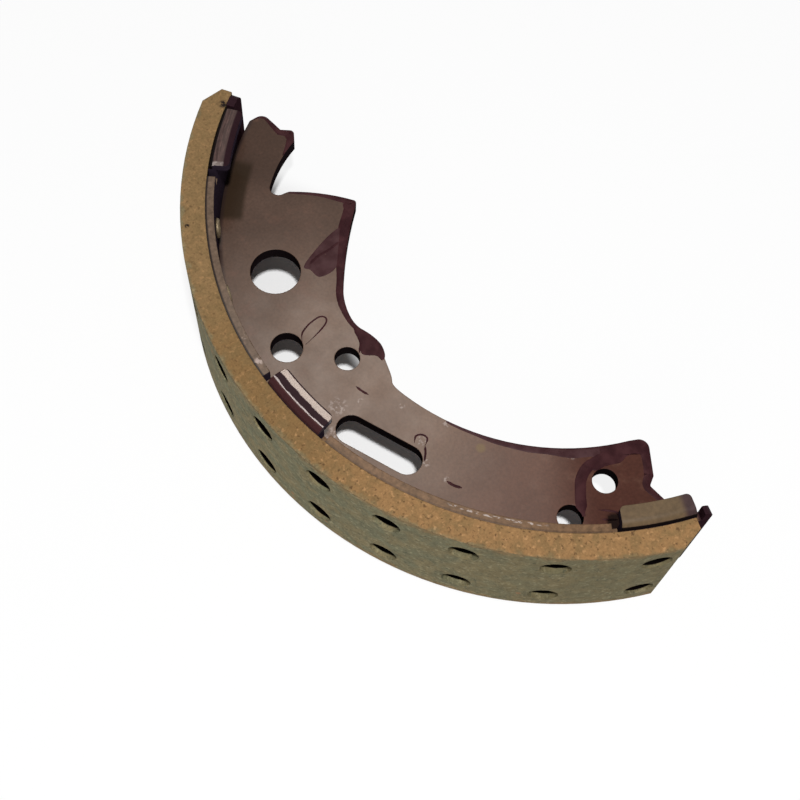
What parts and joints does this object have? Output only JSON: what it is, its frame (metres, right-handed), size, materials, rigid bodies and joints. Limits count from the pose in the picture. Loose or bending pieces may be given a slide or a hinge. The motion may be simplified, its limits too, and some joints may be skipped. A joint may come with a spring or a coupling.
{
  "type": "drum brake shoe",
  "caption": "Riveted drum brake shoe: a curved rim with bent guide lugs on a flat web with spring and pin holes, faced with a bevelled friction lining.",
  "frame": {"origin": "centre of the hold-down hole, on the middle plane of the web", "axes": "+Z along the drum's axis, +Y along the shoe's length towards the horn end, -X towards the lining"},
  "size_m": [0.1117, 0.2696, 0.066],
  "materials": {
    "painted_steel": "dipped dark brown paint, semi-gloss, with runs and darker pooled edges",
    "friction_lining": "dry moulded friction material, tan and speckled at the cut sides, grey-green on the ground face",
    "rivet_steel": "dull plated steel"
  },
  "bodies": {
    "root": {"web": "painted_steel", "rim": "painted_steel", "lining": "friction_lining", "rivets": "rivet_steel"}
  },
  "joints": []
}
